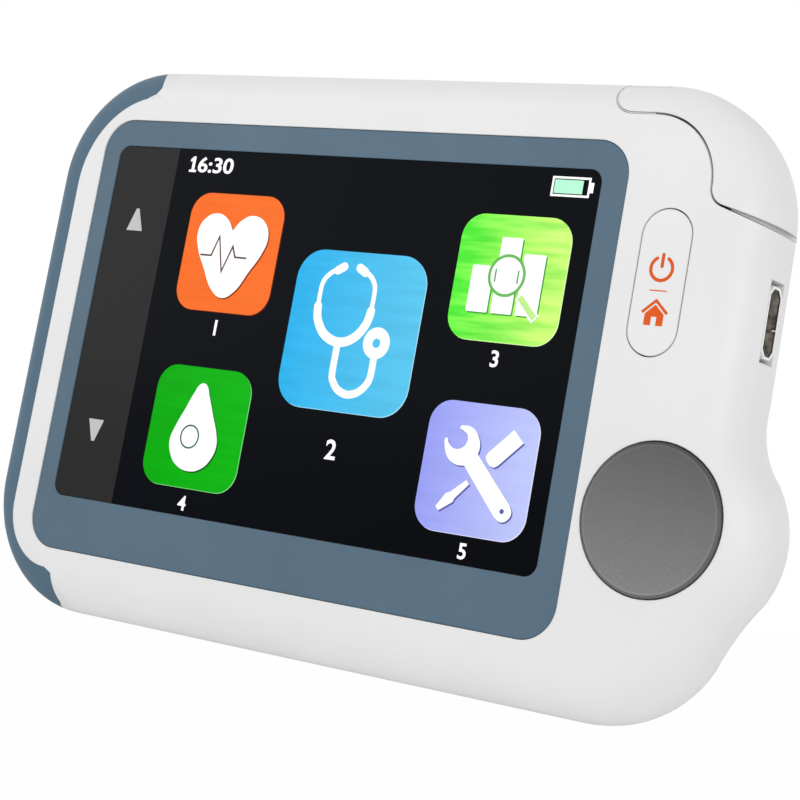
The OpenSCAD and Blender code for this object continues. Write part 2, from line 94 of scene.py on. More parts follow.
def linear(code, alpha=1.0):
    channels = [int(code[i:i + 2], 16) / 255 for i in (1, 3, 5)]
    bent = [c / 12.92 if c <= 0.04045 else ((c + 0.055) / 1.055) ** 2.4 for c in channels]
    return (*bent, alpha)


def addNode(tree, kind, settings=None, links=None):
    node = tree.nodes.new(kind)
    for key, value in (settings or {}).items():
        if isinstance(key, int) or key in node.inputs:
            node.inputs[key].default_value = value
        else:
            setattr(node, key, value)
    for socket, source in (links or {}).items():
        tree.links.new(source, node.inputs[socket])
    return node


def startMaterial(name, settings):
    material = bpy.data.materials.new(name)
    material.use_nodes = True
    tree = material.node_tree
    tree.nodes.clear()
    surface = addNode(tree, "ShaderNodeBsdfPrincipled", settings)
    addNode(tree, "ShaderNodeOutputMaterial", None, {"Surface": surface.outputs["BSDF"]})
    spot = addNode(tree, "ShaderNodeTexCoord").outputs["Object"]
    return material, tree, surface, spot


def grainBump(tree, surface, spot, size, depth, edge=0.0):
    noise = addNode(tree, "ShaderNodeTexNoise", {"Scale": 1 / (size * mm), "Detail": 3.0},
                    {"Vector": spot})
    bump = addNode(tree, "ShaderNodeBump", {"Strength": 1.0, "Distance": depth * mm},
                   {"Height": noise.outputs["Fac"]})
    if edge:
        soft = addNode(tree, "ShaderNodeBevel", {"samples": 6, "Radius": edge * mm})
        tree.links.new(soft.outputs["Normal"], bump.inputs["Normal"])
    tree.links.new(bump.outputs["Normal"], surface.inputs["Normal"])


def tonedColour(tree, surface, spot, dark, pale, size):
    noise = addNode(tree, "ShaderNodeTexNoise", {"Scale": 1 / (size * mm), "Detail": 2.0},
                    {"Vector": spot})
    spread = addNode(tree, "ShaderNodeMapRange", {"From Min": 0.35, "From Max": 0.65},
                     {"Value": noise.outputs["Fac"]})
    tone = addNode(tree, "ShaderNodeMix",
                   {"data_type": "RGBA", 6: linear(dark), 7: linear(pale)},
                   {"Factor": spread.outputs["Result"]})
    tree.links.new(tone.outputs[2], surface.inputs["Base Color"])
    return tone.outputs[2]


def roughnessSpread(tree, surface, spot, size, low, high):
    noise = addNode(tree, "ShaderNodeTexNoise", {"Scale": 1 / (size * mm), "Detail": 2.0},
                    {"Vector": spot})
    spread = addNode(tree, "ShaderNodeMapRange",
                     {"From Min": 0.3, "From Max": 0.7, "To Min": low, "To Max": high},
                     {"Value": noise.outputs["Fac"]})
    tree.links.new(spread.outputs["Result"], surface.inputs["Roughness"])


def mouldedAbs(name, dark, pale, rough, grain=0.35, depth=0.004, edge=0.0, shine=0.5):
    # ABS from a finely spark-eroded mould: an even satin with a faint mottle
    material, tree, surface, spot = startMaterial(
        name, {"IOR": 1.5, "Roughness": rough, "Specular IOR Level": shine})
    tonedColour(tree, surface, spot, dark, pale, 9)
    grainBump(tree, surface, spot, grain, depth, edge)
    roughnessSpread(tree, surface, spot, 1.5, rough - 0.03, rough + 0.04)
    return material


whiteAbs = mouldedAbs("whiteMouldedAbs", "#E7E7E7", "#E9E9E9", 0.4, edge=0.14, shine=0.35)
keyAbs = mouldedAbs("whiteKeyAbs", "#E8E8E8", "#EAEAEA", 0.38, edge=0.14, shine=0.35)
bezelLacquer = mouldedAbs("blueGreySurroundLacquer", "#50687A", "#536C7E", 0.45, 0.25, 0.003,
                          0.12, 0.3)
paleAbs = mouldedAbs("paleGreyAbs", "#C9CACA", "#D2D3D3", 0.45)
paleSilicone = mouldedAbs("paleSiliconeRubber", "#DCDDDE", "#E2E3E3", 0.55, 0.2, 0.006)
blackAbs = mouldedAbs("blackMouldedAbs", "#151516", "#1B1B1D", 0.5)
ivoryNylon = mouldedAbs("ivoryPlugNylon", "#D8D0BC", "#E0D9C8", 0.5)


def plainMetal(name, colour, rough):
    # Drawn or stamped metal: bright, with faint lengthwise streaks
    material, tree, surface, spot = startMaterial(
        name, {"Metallic": 1.0, "Base Color": linear(colour), "Roughness": rough})
    stretch = addNode(tree, "ShaderNodeMapping", {"Scale": (0.15, 1.0, 1.0)},
                      {"Vector": spot})
    noise = addNode(tree, "ShaderNodeTexNoise", {"Scale": 1 / (0.2 * mm), "Detail": 2.0},
                    {"Vector": stretch.outputs["Vector"]})
    spread = addNode(tree, "ShaderNodeMapRange",
                     {"From Min": 0.3, "From Max": 0.7,
                      "To Min": rough - 0.08, "To Max": rough + 0.1},
                     {"Value": noise.outputs["Fac"]})
    tree.links.new(spread.outputs["Result"], surface.inputs["Roughness"])
    return material


stampedSteel = plainMetal("stampedSteel", "#B9B8B4", 0.32)
goldPlate = plainMetal("goldPlatedBronze", "#D9AE62", 0.3)
lcdTin = plainMetal("tinnedDisplayFrame", "#BFC1C4", 0.38)


# Masking lines of the lacquer: place along x, how it leans over the turned edge, its foot
bandEnds = ({"x": -27.1, "turn": (1.56, 4.4), "lean": 0.9, "foot": (-27.45, -25.0), "cut": -0.65},
            {"x": -25.25, "turn": (0.4, 3.6), "lean": 2.2, "foot": (24.7, 25.3), "cut": 1.27})


def bareBeyond(tree, where, end):
    turned = addNode(tree, "ShaderNodeMapRange",
                     {"From Min": faceCentre.y + end["turn"][0] * mm,
                      "From Max": faceCentre.y + end["turn"][1] * mm},
                     {"Value": where.outputs["Y"]})
    footed = addNode(tree, "ShaderNodeMapRange",
                     {"From Min": faceCentre.z + end["foot"][0] * mm,
                      "From Max": faceCentre.z + end["foot"][1] * mm,
                      "To Min": end["cut"] * mm, "To Max": 0.0}, {"Value": where.outputs["Z"]})
    front = addNode(tree, "ShaderNodeMath", {"operation": "SUBTRACT", 0: 1.0},
                    {1: turned.outputs["Result"]})
    leaning = addNode(tree, "ShaderNodeMath", {"operation": "MULTIPLY_ADD",
                                               1: end["lean"] * mm},
                      {0: turned.outputs["Result"], 2: where.outputs["X"]})
    shifted = addNode(tree, "ShaderNodeMath", {"operation": "MULTIPLY_ADD"},
                      {0: footed.outputs["Result"], 1: front.outputs[0],
                       2: leaning.outputs[0]})
    edge = faceCentre.x + end["x"] * mm
    bare = addNode(tree, "ShaderNodeMapRange",
                   {"From Min": edge - 0.03 * mm, "From Max": edge + 0.03 * mm},
                   {"Value": shifted.outputs[0]})
    return bare.outputs["Result"]


def bandPaint(ends):
    # Blue-grey lacquer on a white moulding, masked off along a slanting line at both ends
    material, tree, surface, spot = startMaterial(
        "blueGreyBandLacquer", {"Roughness": 0.5, "IOR": 1.5, "Specular IOR Level": 0.2})
    where = addNode(tree, "ShaderNodeSeparateXYZ", None, {"Vector": spot})
    upper = addNode(tree, "ShaderNodeMath", {"operation": "GREATER_THAN", 1: faceCentre.z},
                    {0: where.outputs["Z"]})
    low, high = [bareBeyond(tree, where, end) for end in ends]
    masked = addNode(tree, "ShaderNodeMix", None,
                     {"Factor": upper.outputs[0], 2: low, 3: high})
    tone = addNode(tree, "ShaderNodeMix",
                   {"data_type": "RGBA", 6: linear("#506B7E"), 7: linear("#E8E8E8")},
                   {"Factor": masked.outputs[0]})
    tree.links.new(tone.outputs[2], surface.inputs["Base Color"])
    grainBump(tree, surface, spot, 0.25, 0.003)
    return material


bandLacquer = bandPaint(bandEnds)


def finish(names, material):
    for name in names:
        mesh = nodes[name].data
        mesh.materials.clear()
        mesh.materials.append(material)


finish(["front_shell", "back_shell", "flap_shell"], whiteAbs)
finish(["power_button"], keyAbs)
finish(["left_end_band"], bandLacquer)
finish(["screen_bezel"], bezelLacquer)
finish(["board_chips", "speaker", "switch_plunger"], blackAbs)
finish(["connector_tongue"], mouldedAbs("greyBrownSocketResin", "#8E8880", "#9A948C", 0.5))
finish(["finger_bracket"], paleAbs)
finish(["battery_plug"], ivoryNylon)
finish(["flap_pad", "finger_seat_pad"], paleSilicone)
finish(["case_screws", "flap_hinge_pin", "flap_spring", "connector_shell", "power_switch"],
       stampedSteel)
finish(["connector_contacts", "thumb_electrode_spring", "back_electrode_spring"], goldPlate)
finish(["lcd_module"], lcdTin)


def paleDownwards(tree, spot, dark, pale):
    # Painted shading: a colour that pales from the top of the thumb electrode to its lower edge
    where = addNode(tree, "ShaderNodeSeparateXYZ", None, {"Vector": spot})
    spread = addNode(tree, "ShaderNodeMapRange",
                     {"From Min": thumbBox[1][2], "From Max": thumbBox[0][2]},
                     {"Value": where.outputs["Z"]})
    tone = addNode(tree, "ShaderNodeMix",
                   {"data_type": "RGBA", 6: linear(dark), 7: linear(pale)},
                   {"Factor": spread.outputs["Result"]})
    return tone.outputs[2]


def electrodePaint():
    # Conductive coat on a turned disc, with painted shading a little paler towards its lower edge
    material, tree, surface, spot = startMaterial(
        "conductiveElectrodeCoat", {"Roughness": 0.42, "IOR": 1.5, "Specular IOR Level": 0.35})
    tone = paleDownwards(tree, spot, "#525252", "#7F7F7F")
    tree.links.new(tone, surface.inputs["Base Color"])
    grainBump(tree, surface, spot, 0.22, 0.006, 0.2)
    return material


def pouchFoil():
    # Silver pouch foil, softly wrinkled
    material, tree, surface, spot = startMaterial(
        "batteryPouchFoil", {"Roughness": 0.35, "Metallic": 0.7})
    tonedColour(tree, surface, spot, "#A9AFB6", "#BBC0C6", 6)
    grainBump(tree, surface, spot, 4.0, 0.06)
    return material


def boardMask():
    # Green solder mask over copper runs
    material, tree, surface, spot = startMaterial(
        "greenSolderMask", {"Roughness": 0.35, "IOR": 1.5})
    laid = addNode(tree, "ShaderNodeMapping", {"Rotation": (math.pi / 2, 0, 0)}, {"Vector": spot})
    runs = addNode(tree, "ShaderNodeTexBrick",
                   {"Scale": 1 / (6 * mm), "Mortar Size": 0.05, "Color1": linear("#0D4A2A"),
                    "Color2": linear("#0F5230"), "Mortar": linear("#1C6B42")},
                   {"Vector": laid.outputs["Vector"]})
    tree.links.new(runs.outputs["Color"], surface.inputs["Base Color"])
    return material


finish(["thumb_electrode", "back_electrode", "left_electrode"], electrodePaint())
finish(["battery"], pouchFoil())
finish(["main_board"], boardMask())
finish(["display_ribbon"], mouldedAbs("amberPolyimideFilm", "#A8641C", "#B56E22", 0.25, 0.8))
finish(["flap_light_window", "sensor_window"],
       mouldedAbs("darkRedSensorGlass", "#2A0608", "#35080A", 0.12, 1.0, 0.0005))
print("finishes set")

flatToRow = Matrix(((mm, 0, 0, faceCentre.x), (0, 0, mm, faceCentre.y),
                    (0, mm, 0, faceCentre.z), (0, 0, 0, 1)))


def keep(name, shape, material, body="housing", sharp=35):
    # Stands a flat shape up and hands it to its body
    bmesh.ops.remove_doubles(shape, verts=shape.verts, dist=0.0005)
    bmesh.ops.transform(shape, matrix=flatToRow, verts=shape.verts)
    bmesh.ops.recalc_face_normals(shape, faces=shape.faces)
    mesh = bpy.data.meshes.new(name)
    shape.to_mesh(mesh)
    shape.free()
    mesh.materials.append(material)
    mesh.shade_smooth()
    mesh.set_sharp_from_angle(angle=math.radians(sharp))
    piece = bpy.data.objects.new(name, mesh)
    bpy.context.scene.collection.objects.link(piece)
    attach(piece, body)
    return piece


def thicken(shape, front, back):
    for vert in shape.verts:
        vert.co.z = back
    made = bmesh.ops.extrude_face_region(shape, geom=shape.faces[:])["geom"]
    risen = [part for part in made if isinstance(part, bmesh.types.BMVert)]
    bmesh.ops.translate(shape, vec=(0, 0, front - back), verts=risen)
    return shape


def roundedArea(size, radius, at=(0, 0), steps=8):
    shape = bmesh.new()
    bmesh.ops.create_grid(shape, x_segments=1, y_segments=1, size=0.5)
    bmesh.ops.scale(shape, vec=(size[0], size[1], 1), verts=shape.verts)
    bmesh.ops.bevel(shape, geom=shape.verts[:], offset=radius, affect="VERTICES",
                    segments=steps, profile=0.5, material=-1)
    bmesh.ops.translate(shape, vec=(at[0], at[1], 0), verts=shape.verts)
    return shape


def cornerArea(points):
    shape = bmesh.new()
    shape.faces.new([shape.verts.new((x, y, 0)) for x, y in points])
    return shape


def filledArea(drawing):
    # Turns a flat curve or text into faces and drops the drawing
    holder = bpy.data.objects.new(drawing.name, drawing)
    bpy.context.scene.collection.objects.link(holder)
    view = bpy.context.evaluated_depsgraph_get()
    mesh = bpy.data.meshes.new_from_object(holder.evaluated_get(view))
    shape = bmesh.new()
    shape.from_mesh(mesh)
    bpy.data.objects.remove(holder)
    bpy.data.curves.remove(drawing)
    bpy.data.meshes.remove(mesh)
    return shape


def sketch(outlines, steps=8):
    # A filled area. Points are (x, y) for a smooth pass and (x, y, "corner") for a sharp one.
    curve = bpy.data.curves.new("sketch", "CURVE")
    curve.resolution_u = steps
    curve.dimensions = "2D"
    curve.fill_mode = "BOTH"
    for points in outlines:
        spline = curve.splines.new("BEZIER")
        spline.bezier_points.add(len(points) - 1)
        for knot, point in zip(spline.bezier_points, points):
            knot.co = (point[0], point[1], 0)
            kind = "VECTOR" if len(point) > 2 else "AUTO"
            knot.handle_left_type = knot.handle_right_type = kind
        spline.use_cyclic_u = True
    return filledArea(curve)


def smoothPath(points, steps=6):
    # A smooth line through all the points
    knots = [Vector(point) for point in points]
    path = []
    for i in range(len(knots) - 1):
        before, start = knots[max(i - 1, 0)], knots[i]
        end, after = knots[i + 1], knots[min(i + 2, len(knots) - 1)]
        for k in range(steps):
            t = k / steps
            path.append(0.5 * (2 * start + (end - before) * t
                               + (2 * before - 5 * start + 4 * end - after) * t ** 2
                               + (3 * start - before - 3 * end + after) * t ** 3))
    return path + [knots[-1]]


def strokeArea(path, width, roundEnds=True):
    # The area of a line of even width with mitred bends
    path = [Vector(point) for point in path]
    half = width / 2
    left, right = [], []
    for i, point in enumerate(path):
        ahead = path[min(i + 1, len(path) - 1)] - point
        behind = point - path[max(i - 1, 0)]
        ahead = ahead.normalized() if ahead.length else behind.normalized()
        behind = behind.normalized() if behind.length else ahead
        along = (ahead + behind).normalized()
        across = Vector((-along.y, along.x)) * half / max(along.dot(ahead), 0.35)
        left.append(point + across)
        right.append(point - across)
    caps = []
    for point, edge in ((path[-1], left[-1]), (path[0], right[0])):
        spoke = edge - point
        turns = [-math.pi * k / 8 for k in range(1, 8)] if roundEnds else []
        caps.append([point + Matrix.Rotation(turn, 2) @ spoke for turn in turns])
    return cornerArea([tuple(v) for v in left + caps[0] + right[::-1] + caps[1]])


screen = {
    "face": 0.2,           # depth of the glass's front behind the shell's front
    "ink": 0.02,           # thickness of each printed or lit layer
    "sunk": 0.01,          # by which a layer sits in the one below
    "stripEdge": -21.03,   # where the printed strip ends and the picture starts
    "windowLeft": -28.93,
    "windowTop": 19.53,
    "windowLow": -16.87,
    "windowRound": 1.25,
    "arrows": -25.1,       # x of the two printed arrows
    "rimShift": (0.09, -0.06),     # of a tile's rim to its lower right
    "shadowShift": (0.13, -0.12),  # of a sign's shadow
}


def litColour(name, base, other=None, axis=0, span=(0, 1), bands=0.0, glow=0.12, tint=0.0,
              shine=0.05):
    # A lit display under its cover glass: even colour with a faint line pattern
    material, tree, surface, spot = startMaterial(
        name, {"Roughness": 0.14, "IOR": 1.5, "Specular IOR Level": shine,
               "Emission Strength": glow})
    where = addNode(tree, "ShaderNodeSeparateXYZ", None, {"Vector": spot})
    spread = addNode(tree, "ShaderNodeMapRange",
                     {"From Min": span[0], "From Max": span[1]},
                     {"Value": where.outputs[axis]})
    blend = addNode(tree, "ShaderNodeMix",
                    {"data_type": "RGBA", 6: linear(base), 7: linear(other or base)},
                    {"Factor": spread.outputs["Result"]})
    result = blend.outputs[2]
    if bands:
        flat = addNode(tree, "ShaderNodeMapping", {"Scale": (0.12, 1.0, 1.0)},
                       {"Vector": spot})
        lines = addNode(tree, "ShaderNodeTexNoise", {"Scale": 1 / (0.9 * mm), "Detail": 2.0},
                        {"Vector": flat.outputs["Vector"]})
        level = addNode(tree, "ShaderNodeMapRange",
                        {"From Min": 0.35, "From Max": 0.65,
                         "To Min": 1 - bands, "To Max": 1 + bands},
                        {"Value": lines.outputs["Fac"]})
        shade = addNode(tree, "ShaderNodeVectorMath", {"operation": "SCALE"},
                        {0: result, "Scale": level.outputs["Result"]})
        result = shade.outputs[0]
        streak = addNode(tree, "ShaderNodeMath", {"operation": "SUBTRACT", 1: 0.5},
                         {0: lines.outputs["Fac"]})
        mixed = addNode(tree, "ShaderNodeMath", {"operation": "MULTIPLY_ADD", 1: tint,
                                                 "use_clamp": True},
                        {0: streak.outputs[0], 2: spread.outputs["Result"]})
        tree.links.new(mixed.outputs[0], blend.inputs["Factor"])
    tree.links.new(result, surface.inputs["Base Color"])
    tree.links.new(result, surface.inputs["Emission Color"])
    return material


def rowX(x):
    return faceCentre.x + x * mm


def rowZ(y):
    return faceCentre.z + y * mm


darkPanel = litColour("unlitDisplay", "#080B12", "#05070C", 0,
                      (rowX(-21), rowX(28)), glow=0.02, shine=0.032)
stripInk = litColour("darkGreyStripInk", "#2A2A2A", "#272727", glow=0.05)
paleInk = litColour("paleGreyInk", "#BEBEBE", glow=0.1)
litWhite = litColour("litWhite", "#F6F6F8", glow=0.2)
tilePaper = litColour("litPaleSign", "#F6F7F8", "#F2F3F5", 2, (rowZ(10), rowZ(-12)), glow=0.2)
finish(["touch_glass"], darkPanel)

tiles = {
    "heartTile": {"box": (-18.0, -6.15, 3.3, 15.2), "round": 2.3,
                  "colours": ("#F16C26", "#F26F2A"), "edge": "#7A1C08", "bands": 0.03},
    "listenTile": {"box": (-3.25, 11.8, -4.85, 10.4), "round": 2.9,
                   "colours": ("#2AACE5", "#58C0E7"), "edge": "#A8E2F8", "bands": 0.05},
    "chartTile": {"box": (14.7, 26.4, 3.25, 14.95), "round": 2.3,
                  "colours": ("#52E93A", "#C4FA74"), "edge": "#D8FFB0", "bands": 0.1, "tint": 1.3},
    "dropTile": {"box": (-18.0, -6.15, -14.2, -2.3), "round": 2.3,
                 "colours": ("#04A506", "#0AB00E"), "edge": "#7FDB83", "bands": 0.05},
    "toolTile": {"box": (14.75, 26.5, -14.25, -2.4), "round": 2.3,
                 "colours": ("#949AEC", "#BBC3F4"), "edge": "#E2E4FF", "bands": 0.03},
}
layerTwo = screen["face"] - screen["ink"]
layerThree = layerTwo - screen["ink"]


def addTile(name, tile):
    # A lit area whose rim shows as a thin line along its lower right edge
    left, right, low, top = tile["box"]
    size = (right - left, top - low)
    middle = Vector(((left + right) / 2, (low + top) / 2))
    back = screen["face"] + screen["sunk"]
    rim = roundedArea(size, tile["round"], middle + Vector(screen["rimShift"]))
    keep(name + "Rim", thicken(rim, screen["face"] - screen["ink"] / 2, back),
         litColour(name + "RimLit", tile["edge"]))
    paint = litColour(name + "Lit", *tile["colours"], 0, (rowX(left), rowX(right)),
                      tile["bands"], tint=tile.get("tint", 0.0))
    keep(name, thicken(roundedArea(size, tile["round"], middle), layerTwo, back), paint)


def onTile(name, shape, material=None, lift=0, shadow=None):
    # A sign one or more ink layers above its tile, with a thin shadow at its lower right
    if shadow:
        dark = shape.copy()
        bmesh.ops.translate(dark, vec=(*screen["shadowShift"], 0), verts=dark.verts)
        onTile(name + "Shadow", dark, shadow, lift)
        lift += 1
    front = layerThree - lift * screen["ink"]
    keep(name, thicken(shape, front, front + screen["ink"] + screen["sunk"]),
         material or tilePaper)


def ring(centre, radius, start=0, end=360, knots=12):
    count = knots if end - start >= 360 else knots + 1
    return [(centre[0] + radius * math.cos(math.radians(start + (end - start) * i / knots)),
             centre[1] + radius * math.sin(math.radians(start + (end - start) * i / knots)))
            for i in range(count)]


def addStrip():
    width = screen["stripEdge"] - screen["windowLeft"]
    height = screen["windowTop"] - screen["windowLow"]
    mid = (screen["windowTop"] + screen["windowLow"]) / 2
    area = roundedArea((2 * width, height), screen["windowRound"],
                       (screen["stripEdge"], mid))
    bmesh.ops.bisect_plane(area, geom=area.verts[:] + area.edges[:] + area.faces[:],
                           plane_co=(screen["stripEdge"], 0, 0), plane_no=(1, 0, 0),
                           clear_outer=True)
    keep("keyStrip", thicken(area, layerTwo, screen["face"] + screen["sunk"]), stripInk)
    x = screen["arrows"]
    up = cornerArea([(x - 1.05, 10.75), (x + 1.05, 10.75), (x + 0.18, 13.05), (x - 0.18, 13.05)])
    down = cornerArea([(x - 1.0, -8.85), (x + 1.0, -8.85), (x + 0.18, -11.05), (x - 0.18, -11.05)])
    for name, area in (("upKeySign", up), ("downKeySign", down)):
        onTile(name, area, paleInk)


def addFigures(name, words, left, low, tall, wide=None):
    # Plain figures of a given height: stretched from left to wide, or centred on left
    font = bpy.data.curves.new(name, "FONT")
    font.body = words
    font.size = 1
    font.resolution_u = 4
    font.offset = 0.02
    shape = filledArea(font)
    xs = [vert.co.x for vert in shape.verts]
    ys = [vert.co.y for vert in shape.verts]
    grow = tall / (max(ys) - min(ys))
    stretch = wide / (max(xs) - min(xs)) if wide else grow
    start = left if wide else left - (max(xs) - min(xs)) * grow / 2
    for vert in shape.verts:
        vert.co.x = start + (vert.co.x - min(xs)) * stretch
        vert.co.y = low + (vert.co.y - min(ys)) * grow
        vert.co.z = 0
    onTile(name, shape, litWhite)


clock = {"left": -19.4, "low": 17.2, "tall": 1.62, "figures": 1.12, "wide": 4.58}


def addClock(c):
    # A figure one with a flag and a foot, then the other figures
    left, low, tall = c["left"], c["low"], c["tall"]
    addFigures("clockFigures", "6:30", left + c["figures"], low, tall, c["wide"])
    outline = ((0.05, 0), (0.95, 0), (0.95, 0.24), (0.7, 0.24), (0.7, tall), (0.42, tall),
               (0.08, 1.3), (0.08, 1.06), (0.34, 1.16), (0.34, 0.24), (0.05, 0.24))
    onTile("clockOne", sketch([[(left + x, low + y, "c") for x, y in outline]]), litWhite)


batterySign = {"box": (23.35, 27.35, 16.95, 18.8), "wall": 0.2, "inset": 0.3, "used": 0.75,
               "tip": (0.35, 0.45)}


def addBattery(b):
    (left, right, low, top), wall = b["box"], b["wall"]
    frameArea = sketch([[(left, low, "c"), (right, low, "c"), (right, top, "c"), (left, top, "c")],
                        [(left + wall, low + wall, "c"), (right - wall, low + wall, "c"),
                         (right - wall, top - wall, "c"), (left + wall, top - wall, "c")]])
    onTile("batteryOutline", frameArea, litWhite)
    long, short = b["tip"]
    onTile("batteryTip", cornerArea([(right, low + short), (right + long, low + short),
                                     (right + long, top - short), (right, top - short)]),
           litWhite)
    inset, used = b["inset"], b["used"]
    onTile("batteryLevel", cornerArea([(left + inset, low + inset), (right - used, low + inset),
                                       (right - used, top - inset), (left + inset, top - inset)]),
           litColour("litMint", "#B4F8D2", glow=0.12))


def addHeartSign():
    # Two lobes and a rounded point, with a pulse line across
    heart = sketch([[(-12.05, 4.72), (-13.4, 5.35), (-15.0, 7.55), (-16.25, 9.6), (-16.6, 11.1),
                     (-16.05, 12.45), (-14.5, 13.15), (-13.05, 12.6), (-12.2, 11.5, "corner"),
                     (-11.3, 12.6), (-9.85, 13.15), (-8.25, 12.45), (-7.65, 11.05),
                     (-8.05, 9.5), (-9.25, 7.55), (-10.75, 5.35)]])
    onTile("heartSign", heart, shadow=litColour("litBrownShadow", "#8A3212", glow=0.05))
    pulse = strokeArea([(-15.75, 8.87), (-14.35, 8.87), (-13.7, 10.85), (-12.7, 7.35),
                        (-11.8, 9.95), (-11.3, 8.87), (-9.85, 8.87)], 0.17, False)
    onTile("pulseLine", pulse, litColour("litBrownLine", "#5E4038", glow=0.05), lift=2)


def addListenSign():
    # Ear tips, thin tubes, a thick yoke, one hose and a chest piece
    lines = {
        "earTipLeft": ([(1.45, 8.5), (2.15, 8.9)], 0.85),
        "earTipRight": ([(4.7, 8.5), (3.98, 8.9)], 0.85),
        "tubeLeft": ([(1.4, 8.5), (0.9, 8.32), (0.2, 7.68), (-0.12, 6.84), (-0.13, 5.0)], 0.48),
        "tubeRight": ([(4.75, 8.5), (5.2, 8.32), (5.85, 7.68), (6.13, 6.84), (6.13, 5.0)], 0.48),
        "yoke": ([(-0.12, 4.9), (0.1, 3.7), (0.92, 2.5), (1.96, 1.86), (2.98, 1.66),
                  (4.04, 1.86), (5.08, 2.55), (5.85, 3.7), (6.13, 4.9)], 0.9),
        "hose": ([(2.96, 1.6), (2.96, -1.28), (3.2, -2.05), (3.94, -2.82), (5.1, -3.16),
                  (6.25, -2.82), (7.08, -2.0), (7.38, -1.1), (7.38, 0.7)], 0.74),
    }
    for index, (name, (points, width)) in enumerate(lines.items()):
        onTile(name, strokeArea(smoothPath(points), width), lift=0.1 * index)
    onTile("chestPiece", sketch([ring((7.38, 1.95), 1.5), ring((7.38, 1.95), 0.45)]), lift=0.6)


def addChartSign():
    # Three bars of a chart with a magnifier in front
    shade = litColour("litGreenShadow", "#3F9B3C", glow=0.05)
    for index, (left, right, top) in enumerate(((16.52, 18.8, 10.15), (19.17, 21.4, 12.87),
                                                (21.8, 24.1, 11.47))):
        bar = roundedArea((right - left, top - 5.82), 0.12,
                          ((left + right) / 2, (5.82 + top) / 2), 3)
        onTile("chartBar%d" % index, bar, shadow=shade)
    centre = (20.3, 9.36)
    onTile("lensGlass", sketch([ring(centre, 1.78)]), lift=2)
    onTile("lensRing", sketch([ring(centre, 1.97), ring(centre, 1.7)]),
           litColour("litRingGreen", "#6DB85C", glow=0.08), lift=3)
    for index, x in enumerate((19.1, 21.5)):
        onTile("lensMark%d" % index, strokeArea([(x, 8.75), (x, 9.85)], 0.13), shade, lift=3)
    onTile("lensHandleEdge", strokeArea([(21.95, 7.6), (24.0, 5.6)], 0.98, False), lift=2.2)
    onTile("lensHandle", strokeArea([(22.05, 7.5), (23.9, 5.7)], 0.6, False),
           litColour("litHandleGreen", "#BDEB8E", glow=0.1), lift=3)


def addDropSign():
    # A falling drop with a small ring in it
    drop = sketch([[(-12.15, -3.84), (-12.62, -4.05), (-13.1, -4.85), (-13.9, -6.6),
                    (-14.72, -8.4), (-15.1, -9.73), (-14.75, -11.0), (-13.75, -12.1),
                    (-12.15, -12.55), (-10.6, -12.15), (-9.58, -11.1), (-9.17, -9.73),
                    (-9.45, -8.55), (-10.25, -6.9), (-11.15, -5.05), (-11.68, -4.05)]])
    onTile("dropSign", drop, shadow=litColour("litDarkGreenShadow", "#0B5A12", glow=0.05))
    onTile("dropRing", sketch([ring((-12.68, -9.2), 1.18), ring((-12.68, -9.2), 1.03)]),
           litColour("litDropRing", "#35604A", glow=0.05), lift=2)


def addToolSign():
    # A spanner crossing a screwdriver
    shade = litColour("litLilacShadow", "#5F63A8", glow=0.05)
    blade = cornerArea([(19.8, -9.37), (20.14, -9.73), (18.85, -11.15), (18.72, -11.5),
                        (17.37, -12.42), (17.0, -12.1), (17.85, -10.8), (18.3, -10.62)])
    onTile("driverBlade", blade, shadow=shade)
    handle = cornerArea([(23.86, -4.38), (25.02, -5.45), (22.75, -7.75), (22.4, -7.95),
                         (21.95, -7.85), (21.5, -7.4), (21.38, -7.05), (21.55, -6.72)])
    onTile("driverHandle", handle, shadow=shade)
    spanner = sketch([[(18.2, -4.75), (18.75, -4.55), (19.6, -4.72), (20.28, -5.4),
                       (20.6, -6.3), (20.5, -6.95, "corner"), (24.68, -11.05, "corner"),
                       (24.97, -11.7), (24.6, -12.4), (23.95, -12.6), (23.28, -12.25, "corner"),
                       (19.3, -8.15, "corner"), (18.3, -8.12), (17.45, -7.65), (16.92, -6.75),
                       (16.92, -5.85), (17.25, -6.3), (17.85, -6.72), (18.7, -6.6),
                       (19.18, -5.95), (19.08, -5.35), (18.62, -5.05)]])
    onTile("spannerSign", spanner, shadow=shade)
    onTile("spannerHole", sketch([ring((23.98, -11.66), 0.22)]), shade, lift=2)


tileFigures = ((-12.1, 0.95, 1.55), (4.4, -9.4, 1.9), (20.5, 0.95, 1.55),
               (-12.1, -16.4, 1.45), (20.6, -16.4, 1.45))  # middle, foot and height of each


def addScreen():
    addStrip()
    for name, tile in tiles.items():
        addTile(name, tile)
    addClock(clock)
    addBattery(batterySign)
    addHeartSign()
    addListenSign()
    addChartSign()
    addDropSign()
    addToolSign()
    for number, (x, low, tall) in enumerate(tileFigures, 1):
        addFigures("tileFigure%d" % number, str(number), x, low, tall)


addScreen()
print("screen drawn")

keySigns = {"power": (35.85, 11.1), "home": (35.85, 7.2), "ring": 1.05, "line": 0.3,
            "rule": (9.15, 0.8, 0.1), "front": -0.015, "back": 0.01}


